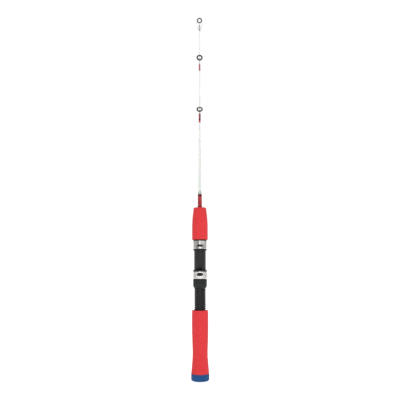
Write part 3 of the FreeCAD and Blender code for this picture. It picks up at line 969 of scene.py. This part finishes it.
@dataclass
class Hood(SubAssembly):
    """A stamped hood: a band round the pipe that swells in front into the foot's pocket."""

    node: str
    body: Body
    mouth: float
    end: float
    band_radius: float
    bulge_radius: float
    bulge_end_radius: float
    window: Window
    bulge_centre: float = 6.3
    crease_blend: float = 0.3
    pipe_way: float = 9.4
    wall: float = 0.6
    end_round: float = 0.7
    end_turns: tuple[int, ...] = (30, 60, 90)
    edge_round: float = 0.12
    edge_angle: float = 50.0
    levels: int = 9
    segments: int = 160

    def outline(self, bulge: float) -> Callable[[float], float]:
        """The hood's outline where its bulge has a given radius.

        Args:
            bulge: The bulge's radius.

        Returns:
            The distance from the axis, for an angle from the front.
        """
        def reach(angle: float) -> float:
            """Distance from the axis at one angle.

            Args:
                angle: The angle from the front.

            Returns:
                The distance.
            """
            ahead = self.bulge_centre * math.cos(angle)
            inside = ahead ** 2 - self.bulge_centre ** 2 + bulge ** 2
            front = ahead + math.sqrt(inside) if inside > 0 else 0.0
            near = max(self.crease_blend - abs(front - self.band_radius), 0) / self.crease_blend
            return max(front, self.band_radius) + near ** 2 * self.crease_blend / 4

        return reach

    def shell(self) -> bpy.types.Object:
        """The skin, its wall and its rounded edges, before the window is cut.

        Returns:
            The shell.
        """
        work = Workpiece()
        way = 1 if self.end > self.mouth else -1
        loops = []
        for level in range(self.levels):
            share = level / (self.levels - 1)
            bulge = self.bulge_radius + (self.bulge_end_radius - self.bulge_radius) * share
            height = self.mouth + (self.end - way * self.end_round - self.mouth) * share
            loops.append(work.ring(height, self.outline(bulge), self.segments))
        for turn in self.end_turns:
            lost = self.end_round * (1 - math.cos(math.radians(turn)))
            height = self.end - way * self.end_round * (1 - math.sin(math.radians(turn)))
            whole = self.outline(self.bulge_end_radius)
            loops.append(work.ring(height, lambda angle, lost=lost: whole(angle) - lost, self.segments))
        loops.append(work.ring(self.end, lambda angle: self.pipe_way, self.segments))
        work.bridge(loops)
        bmesh.ops.recalc_face_normals(work.bm, faces=work.bm.faces)
        self.face_outwards(work.bm)
        piece = work.handed_over(self.node + "_stamping")
        wall = piece.modifiers.new("wall", "SOLIDIFY")
        wall.thickness = self.wall * MM
        wall.offset = -1
        wall.use_even_offset = True
        return piece

    def face_outwards(self, bm: bmesh.types.BMesh) -> None:
        """Turn the skin's faces away from the axis if they look inwards.

        Args:
            bm: The open skin.
        """
        bm.normal_update()
        outward = sum(face.normal.xy.dot(face.calc_center_median().xy) for face in bm.faces)
        if outward < 0:
            bmesh.ops.reverse_faces(bm, faces=bm.faces)

    def build(self) -> None:
        """Make the hood, cut its window and round its edges."""
        piece = self.shell()
        cutter = self.window.cutter()
        opening = piece.modifiers.new("window", "BOOLEAN")
        opening.operation = "DIFFERENCE"
        opening.solver = "EXACT"
        opening.object = cutter
        rounding = piece.modifiers.new("edges", "BEVEL")
        rounding.width = self.edge_round * MM
        rounding.segments = 2
        rounding.limit_method = "ANGLE"
        rounding.angle_limit = math.radians(self.edge_angle)
        even = piece.modifiers.new("even_shading", "WEIGHTED_NORMAL")
        even.keep_sharp = True
        applied(piece)
        bpy.data.objects.remove(cutter)
        self.dress(shaded(piece, crease=40), HOOD_STEEL, self.body, Slot.HOOD, [self.node])
        liner = self.refined_copy(self.node + "_liner", self.node + "_insert")
        self.dress(liner, LINER_BLACK, self.body, Slot.LINER, [self.node + "_liner"])


@dataclass
class ReelSeat(SubAssembly):
    """The threaded pipe, its arbors and its locking nut."""

    arbors: tuple[str, ...] = ("rear_arbor", "middle_arbor", "front_arbor")

    def build(self) -> None:
        """Refine the pipe and the nut, and dress the hidden arbors."""
        pipe = self.refined_copy("reel_seat_pipe", "reel_seat_barrel", crease=28)
        self.dress(pipe, SATIN_BLACK, Body.ROD, Slot.SEAT, ["reel_seat_pipe"])
        nut = self.refined_copy("locking_nut", "locking_nut_fluted", crease=34)
        self.dress(nut, NUT_BLACK, Body.NUT, Slot.NUT, ["locking_nut"])
        for name in self.arbors:
            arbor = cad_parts[name]
            for index in range(len(arbor.material_slots)):
                arbor.material_slots[index].material = TAN_FOAM.material()
            LOG.info("%s: dressed in place", name)


# ---------------------------------------------------------------- blank and windings

@dataclass
class BlankLine:
    """The blank's radius along the rod."""

    stations: Sequence[Station] = ((2.8, 8.0), (2.8, 262.0), (2.42, 296.0), (1.8, 360.0),
                                   (1.38, 423.0), (1.1, 510.0), (0.88, 588.0))

    def radius(self, height: float) -> float:
        """The blank's radius at a height.

        Args:
            height: The height.

        Returns:
            The radius.
        """
        for (wide, low), (narrow, high) in zip(self.stations, self.stations[1:]):
            if low <= height <= high:
                return wide + (narrow - wide) * (height - low) / (high - low)
        return self.stations[-1][0]


@dataclass
class Blank(SubAssembly):
    """Solid glass blank with the faint ridges that its wrapping tape left."""

    line: BlankLine
    ridge_pitch: float = 1.6
    ridge_depth: float = 0.008
    step: float = 0.8
    foot: float = 8.0
    exposed_from: float = 262.0
    end: float = 588.0
    steps: int = 40

    def build(self) -> None:
        """Turn the blank and replace its node."""
        section: list[Station] = [(0.0, self.foot), (self.line.radius(self.foot), self.foot)]
        height = self.exposed_from
        while height < self.end:
            ridge = self.ridge_depth * (math.cos(FULL_TURN * height / self.ridge_pitch) - 1)
            section.append((self.line.radius(height) + ridge, height))
            height += self.step / 2
        section += [(self.line.radius(self.end), self.end), (0.0, self.end)]
        piece = Workpiece().turn(section, self.steps, closed=False).handed_over("glass_blank")
        self.dress(shaded(piece), GLASS, Body.ROD, Slot.BLANK, ["blank"])


@dataclass
class Winding(SubAssembly):
    """Close turns of thread on the blank, swollen in front where they cover a guide's foot."""

    name: str
    nodes: Sequence[str]
    line: BlankLine
    low: float
    high: float
    radius: float
    finish: Finish
    slot: Slot
    swelling: Callable[[float], float] = lambda height: 0.0
    pitch: float = 0.24
    turn_depth: float = 0.07
    bond: float = 0.02
    rib_shares: tuple[float, ...] = (0.04, 0.2, 0.5, 0.8, 0.96)
    steps: int = 56

    def build(self) -> None:
        """Turn the winding, one rounded rib for each turn of thread."""
        count = max(1, round((self.high - self.low) / self.pitch))
        pitch = (self.high - self.low) / count
        section: list[Station] = []
        for turn in range(count):
            for share in self.rib_shares:
                sunk = self.turn_depth * (1 - math.sqrt(math.sin(math.pi * share)))
                section.append((self.radius - sunk, self.low + (turn + share) * pitch))
        for height in (self.high, self.low):
            section.append((self.line.radius(height) + self.bond, height))
        work = Workpiece().turn(section, self.steps).swell(self.swelling)
        piece = shaded(work.handed_over(self.name), crease=60)
        self.dress(piece, self.finish, Body.ROD, self.slot, self.nodes)


@dataclass
class EpoxyCoat(SubAssembly):
    """A clear coat over windings, feathered out onto the blank at both ends."""

    name: str
    line: BlankLine
    low: float
    high: float
    radius: float
    low_feather: float = 0.9
    high_feather: float = 0.9
    thickness: float = 0.1
    swelling: Callable[[float], float] = lambda height: 0.0
    embedded: float = 0.06
    film: float = 0.01
    shoulder: float = 0.4
    shoulder_drop: float = 0.02
    crown: float = 1.2
    feather_bend: float = 0.35
    steps: int = 56

    def build(self) -> None:
        """Turn the coat over the windings."""
        start, end = self.low - self.low_feather, self.high + self.high_feather
        crest = self.radius + self.thickness
        inner = self.line.radius(end) - self.embedded
        outer = flowing([
            (self.line.radius(start) + self.film, start),
            ((self.line.radius(start) + crest) / 2, self.low - self.low_feather * self.feather_bend),
            (crest - self.shoulder_drop, self.low + self.shoulder),
            (crest, self.low + self.crown),
            (crest, self.high - self.crown),
            (crest - self.shoulder_drop, self.high - self.shoulder),
            ((self.line.radius(end) + crest) / 2, self.high + self.high_feather * self.feather_bend),
            (self.line.radius(end) + self.film, end),
        ], 5)
        section = [(inner, end), (inner, start), *outer]
        work = Workpiece().turn(section, self.steps).swell(self.swelling)
        self.dress(shaded(work.handed_over(self.name), crease=60), EPOXY, Body.ROD, Slot.BLANK)


@dataclass
class ButtWindings(SubAssembly):
    """Winding check, crimson butt wrap, its dark band and the resin that runs out above it."""

    line: BlankLine
    check_start: float = 269.52
    check_top: float = 273.3
    check_radius: float = 3.55
    check_top_radius: float = 3.35
    groove_heights: tuple[float, float, float] = (1.2, 1.4, 1.6)
    groove_depth: float = 0.12
    groove_slack: float = 0.02
    bore: float = 2.82
    wrap_radius: float = 3.05
    wrap_top: float = 288.7
    band_radius: float = 3.3
    band_top: float = 291.6
    fillet: float = 4.4
    steps: int = 72

    def build(self) -> None:
        """Build the check, both windings and the coat."""
        low, middle, high = (self.check_start + height for height in self.groove_heights)
        section = [(self.bore, self.check_start), (self.check_radius, self.check_start),
                   (self.check_radius, low),
                   (self.check_radius - self.groove_depth, middle),
                   (self.check_radius - self.groove_slack, high),
                   (self.check_top_radius, self.check_top), (self.bore, self.check_top)]
        work = Workpiece().turn(section, self.steps)
        work.soften(self.check_radius, self.check_start, 0.2)
        work.soften(self.check_top_radius, self.check_top, 0.3)
        check = shaded(work.handed_over("winding_check_rubber"))
        self.dress(check, CHECK_RUBBER, Body.ROD, Slot.DARK_THREAD, ["winding_check"])
        Winding("butt_wrap_turns", ["butt_wrap"], self.line, self.check_top + 0.02, self.wrap_top,
                self.wrap_radius, CRIMSON_THREAD, Slot.RED_THREAD).build()
        Winding("butt_band_turns", ["butt_wrap_band"], self.line, self.wrap_top, self.band_top,
                self.band_radius, DARK_THREAD, Slot.DARK_THREAD).build()
        EpoxyCoat("butt_wrap_coat", self.line, self.check_top, self.band_top, self.band_radius - 0.1,
                  low_feather=0.1, high_feather=self.fillet).build()


# ---------------------------------------------------------------- guides

def leaning(reach: float, height: float, lean: float) -> Matrix:
    """The place of a guide's ring.

    Args:
        reach: How far its middle is in front of the axis.
        height: Its middle's height.
        lean: How far its axis tips from the rod's, in degrees.

    Returns:
        The placing, in millimetres.
    """
    return Matrix.Translation((0, -reach, height)) @ Matrix.Rotation(math.radians(-lean), 4, "X")


@dataclass
class GuideRing(SubAssembly):
    """A ceramic ring: rounded hole, flange towards the butt and a boss inside the hoop."""

    node: str
    hole: float
    radius: float
    height: float
    reach: float
    lean: float
    finish: Finish = RING_CERAMIC
    section_radius: float = 1.0
    hoop_wire: float = 0.45
    hoop_grip: float = 0.2
    boss_edge: float = 0.15
    steps: int = 96

    def build(self) -> None:
        """Turn the ring and lean it towards the tip."""
        throat = self.hole + self.section_radius
        boss = self.radius - 2 * self.hoop_wire + self.hoop_grip
        half = self.section_radius / 2
        section = arc((throat, 0.0), self.section_radius, 90, 270, 14)
        section += arc((self.radius - half, -half), half, -90, 0, 6)
        section += [(self.radius, 0.0), (boss, 0.0), (boss, self.section_radius - self.boss_edge),
                    (boss - self.boss_edge, self.section_radius)]
        work = Workpiece().turn(section, self.steps)
        work.placed(leaning(self.reach, self.height, self.lean))
        piece = shaded(work.handed_over(self.node + "_polished"))
        self.dress(piece, self.finish, Body.ROD, Slot.CERAMIC, [self.node])


@dataclass
class WireFrame(SubAssembly):
    """A guide's wire frame, with its joints run together as solder leaves them."""

    node: str
    voxel: float = 0.1
    smoothing: int = 4

    def build(self) -> None:
        """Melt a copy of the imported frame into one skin."""
        piece = Workpiece.copied_from(self.node).handed_over(self.node + "_soldered")
        melt = piece.modifiers.new("melt", "REMESH")
        melt.mode = "VOXEL"
        melt.voxel_size = self.voxel * MM
        settle = piece.modifiers.new("settle", "SMOOTH")
        settle.factor = 0.5
        settle.iterations = self.smoothing
        applied(piece)
        self.dress(shaded(piece, crease=80), GUIDE_STEEL, Body.ROD, Slot.GUIDE, [self.node])


@dataclass
class SingleFootGuide(SubAssembly):
    """A ring on a wire frame whose foot is bound to the front of the blank."""

    name: str
    ring: GuideRing
    windings: Sequence[Winding]
    coat: EpoxyCoat

    def build(self) -> None:
        """Build the ring, the frame, the windings and the coat."""
        self.ring.build()
        WireFrame(self.name + "_frame").build()
        for winding in self.windings:
            winding.build()
        self.coat.build()


@dataclass
class TipTop(SubAssembly):
    """The last guide: a ring on two braces and a post, with a tube over the blank's end."""

    ring: GuideRing
    tube_start: float = 576.6
    tube_end: float = 590.1
    tube_radius: float = 1.4
    tube_bore: float = 0.92
    crown_round: float = 1.0
    collar: float = 0.06
    collar_height: float = 0.7
    collar_slope: float = 0.2
    bore_edge: Station = (0.12, 0.15)
    mouth_edge: Station = (0.1, 0.12)
    blank_end: float = 588.0
    steps: int = 72

    def build(self) -> None:
        """Build the tube, the frame and the ring."""
        drawn = self.tube_radius - self.collar
        (bore_wide, bore_high), (rim_wide, rim_high) = self.bore_edge, self.mouth_edge
        section = [(0.0, self.blank_end + 0.02), (self.tube_bore, self.blank_end + 0.02),
                   (self.tube_bore, self.tube_start + bore_high),
                   (self.tube_bore + bore_wide, self.tube_start),
                   (self.tube_radius - rim_wide, self.tube_start),
                   (self.tube_radius, self.tube_start + rim_high),
                   (self.tube_radius, self.tube_start + self.collar_height),
                   (drawn, self.tube_start + self.collar_height + self.collar_slope)]
        middle = (drawn - self.crown_round, self.tube_end - self.crown_round)
        section += arc(middle, self.crown_round, 0, 90, 8)
        section.append((0.0, self.tube_end))
        work = Workpiece().turn(section, self.steps, closed=False)
        piece = shaded(work.handed_over("tip_top_drawn_tube"))
        self.dress(piece, GUIDE_STEEL, Body.ROD, Slot.GUIDE, ["tip_top_tube"])
        WireFrame("tip_top_frame").build()
        self.ring.build()


def ramp(low: float, high: float, low_value: float, high_value: float) -> Callable[[float], float]:
    """A value that changes evenly over a stretch of the rod and holds beyond it.

    Args:
        low: Where the stretch starts.
        high: Where it ends.
        low_value: The value at its start.
        high_value: The value at its end.

    Returns:
        The value, for a height.
    """
    def at(height: float) -> float:
        """The value at one height.

        Args:
            height: The height.

        Returns:
            The value.
        """
        share = min(max((height - low) / (high - low), 0.0), 1.0)
        return low_value + (high_value - low_value) * share

    return at


# ---------------------------------------------------------------- studio

@dataclass
class Softbox:
    """A large soft light that faces the rod."""

    name: str
    place: tuple[float, float, float]
    aim: tuple[float, float, float]
    width: float
    height: float
    power: float

    def hang(self) -> None:
        """Hang the light."""
        lamp = bpy.data.lights.new(self.name, "AREA")
        lamp.shape = "RECTANGLE"
        lamp.size = self.width
        lamp.size_y = self.height
        lamp.energy = self.power
        holder = bpy.data.objects.new(self.name, lamp)
        holder.location = self.place
        facing = Vector(self.aim) - Vector(self.place)
        holder.rotation_euler = facing.to_track_quat("-Z", "Y").to_euler()
        bpy.context.scene.collection.objects.link(holder)


@dataclass
class Studio:
    """Pale floor, white surroundings, soft lights and the camera."""

    floor_radius: float = 8.0
    floor_segments: int = 96
    camera_place: tuple[float, float, float] = (0.0, -0.770, 0.167)
    camera_pitch: float = 98.53
    camera_roll: float = 0.12
    lens: float = 42.8
    side_level: float = 0.4
    front_level: float = 0.6
    back_level: float = 1.03
    side_fade: tuple[float, float] = (0.45, 0.8)
    front_fade: tuple[float, float] = (-0.5, 0.1)
    lights: Sequence[Softbox] = field(default_factory=lambda: (
        Softbox("front_softbox", (0, -1.7, 0.7), (0, 0, 0.3), 0.9, 1.2, 5.5),
        Softbox("right_softbox", (1.2, -0.7, 0.45), (0, 0, 0.3), 0.3, 1.3, 2.0),
    ))

    def lay_floor(self) -> None:
        """Lay the pale floor."""
        work = Workpiece()
        bmesh.ops.create_circle(work.bm, cap_ends=True, segments=self.floor_segments,
                                radius=self.floor_radius / MM)
        floor = work.handed_over("studio_floor")
        floor.data.materials.append(PAPER.material())

    def light_world(self) -> None:
        """Surround the rod with white, darker beside it and on the camera's side."""
        world = bpy.data.worlds.new("white_studio")
        bpy.context.scene.world = world
        world.use_nodes = True
        tree = world.node_tree
        ground = tree.nodes["Background"]
        aside = tree.nodes.new("ShaderNodeMath")
        aside.operation = "ABSOLUTE"
        split = tree.nodes.new("ShaderNodeSeparateXYZ")
        tree.links.new(tree.nodes.new("ShaderNodeTexCoord").outputs["Generated"], split.inputs["Vector"])
        tree.links.new(split.outputs["X"], aside.inputs[0])
        both = tree.nodes.new("ShaderNodeMath")
        both.operation = "MULTIPLY"
        for index, (source, (start, end), low, high) in enumerate((
                (aside.outputs["Value"], self.side_fade, self.back_level, self.side_level),
                (split.outputs["Y"], self.front_fade, self.front_level, 1.0))):
            spread = tree.nodes.new("ShaderNodeMapRange")
            spread.interpolation_type = "SMOOTHSTEP"
            for name, value in (("From Min", start), ("From Max", end), ("To Min", low), ("To Max", high)):
                spread.inputs[name].default_value = value
            tree.links.new(source, spread.inputs["Value"])
            tree.links.new(spread.outputs["Result"], both.inputs[index])
        tree.links.new(both.outputs["Value"], ground.inputs["Strength"])
        ground.inputs["Color"].default_value = (1, 1, 1, 1)

    def set_camera(self) -> None:
        """Place the camera in front of the reel's side."""
        lens = bpy.data.cameras.new("front_camera")
        lens.lens = self.lens
        lens.clip_start = 0.01
        camera = bpy.data.objects.new("front_camera", lens)
        camera.location = self.camera_place
        camera.rotation_euler = (math.radians(self.camera_pitch), math.radians(self.camera_roll), 0)
        bpy.context.scene.collection.objects.link(camera)
        bpy.context.scene.camera = camera

    def prepare(self) -> None:
        """Prepare the whole studio."""
        self.set_camera()
        self.lay_floor()
        self.light_world()
        for light in self.lights:
            light.hang()
        bpy.context.scene.view_settings.view_transform = "Standard"
        LOG.info("studio: floor, world, %d lights and camera", len(self.lights))


# ---------------------------------------------------------------- the whole rod

def rear_grip() -> FoamGrip:
    """The waisted rear grip, with its spigot in the cap and its counterbore over the pipe.

    Returns:
        The grip.
    """
    return FoamGrip(
        "rear_grip",
        inner=((9.32, 106.2), (9.32, 93.98), (2.85, 93.98), (2.85, 5.7), (8.9, 5.7), (8.9, 10.62)),
        outer=((13.9, 10.62), (13.16, 19.5), (12.45, 28.0), (12.08, 33.0), (11.88, 38.0), (11.84, 43.0),
               (11.97, 48.0), (12.23, 55.0), (12.5, 62.0), (12.74, 72.0), (12.88, 83.7),
               (12.88, 95.0), (12.75, 106.2)),
    )


def front_grip() -> FoamGrip:
    """The front grip, which tapers to a rounded crown at the blank.

    Returns:
        The grip.
    """
    return FoamGrip(
        "front_grip",
        inner=((2.85, 269.5), (2.85, 217.52)),
        outer=((12.6, 217.52), (12.64, 229.0), (12.62, 241.0), (12.33, 247.9), (11.8, 254.9),
               (11.0, 261.8), (10.0, 269.5)),
        skin_radius=6.0,
    )


def lower_guide(line: BlankLine) -> SingleFootGuide:
    """The larger guide, with a bright tail, a dark band and a long dull wrap.

    Args:
        line: The blank's radius along the rod.

    Returns:
        The guide.
    """
    swelling = ramp(413.9, 420.0, 0.1, 0.5)
    radius = 1.58
    turns = (
        Winding("lower_guide_tail_turns", ["lower_guide_tail_wrap"], line, 413.9, 418.2, radius,
                BRIGHT_THREAD, Slot.RED_THREAD, swelling),
        Winding("lower_guide_band_turns", ["lower_guide_band"], line, 418.2, 420.2, radius,
                DARK_THREAD, Slot.DARK_THREAD, swelling),
        Winding("lower_guide_wrap_turns", ["lower_guide_wrap"], line, 420.2, 429.5, radius,
                DULL_THREAD, Slot.RED_THREAD, swelling),
    )
    coat = EpoxyCoat("lower_guide_coat", line, 413.9, 429.5, radius, swelling=swelling)
    return SingleFootGuide("lower_guide", GuideRing("lower_guide_ring", 3.0, 5.3, 434.1, 8.7, 26.0),
                           turns, coat)


def upper_guide(line: BlankLine) -> SingleFootGuide:
    """The smaller guide, with one rose wrap.

    Args:
        line: The blank's radius along the rod.

    Returns:
        The guide.
    """
    swelling = ramp(505.3, 511.5, 0.3, 0.5)
    radius = 1.33
    turns = (Winding("upper_guide_wrap_turns", ["upper_guide_wrap"], line, 505.3, 517.3, radius,
                     ROSE_THREAD, Slot.RED_THREAD, swelling),)
    coat = EpoxyCoat("upper_guide_coat", line, 505.3, 517.3, radius, swelling=swelling)
    return SingleFootGuide("upper_guide", GuideRing("upper_guide_ring", 2.75, 5.2, 525.3, 8.3, 38.0),
                           turns, coat)


def whole_rod() -> list[SubAssembly]:
    """Every sub-assembly, from the butt to the tip.

    Returns:
        The sub-assemblies in building order.
    """
    line = BlankLine()
    slider = Hood("sliding_hood", Body.SLIDER, 166.6, 155.2, 10.85, 7.2, 6.6,
                  Window(WindowShape.EYE, 162.2, 5.1, 2.6))
    fixed = Hood("fixed_hood", Body.ROD, 202.6, 216.0, 10.6, 7.2, 4.8,
                 Window(WindowShape.SLOT, 207.55, 4.85, 1.65))
    tip_ring = GuideRing("tip_top_ring", 2.4, 4.5, 594.9, 4.4, 52.0, TIP_CERAMIC)
    return [ButtCap(), rear_grip(), ReelSeat(), slider, fixed, TrimRing(), front_grip(), Blank(line),
            ButtWindings(line), lower_guide(line), upper_guide(line), TipTop(tip_ring)]


def main() -> None:
    """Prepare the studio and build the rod."""
    logging.basicConfig(level=logging.INFO, format="%(name)s: %(message)s")
    Studio().prepare()
    for part in whole_rod():
        part.build()
        LOG.info("built %s", type(part).__name__)


if __name__ == "__main__":
    main()
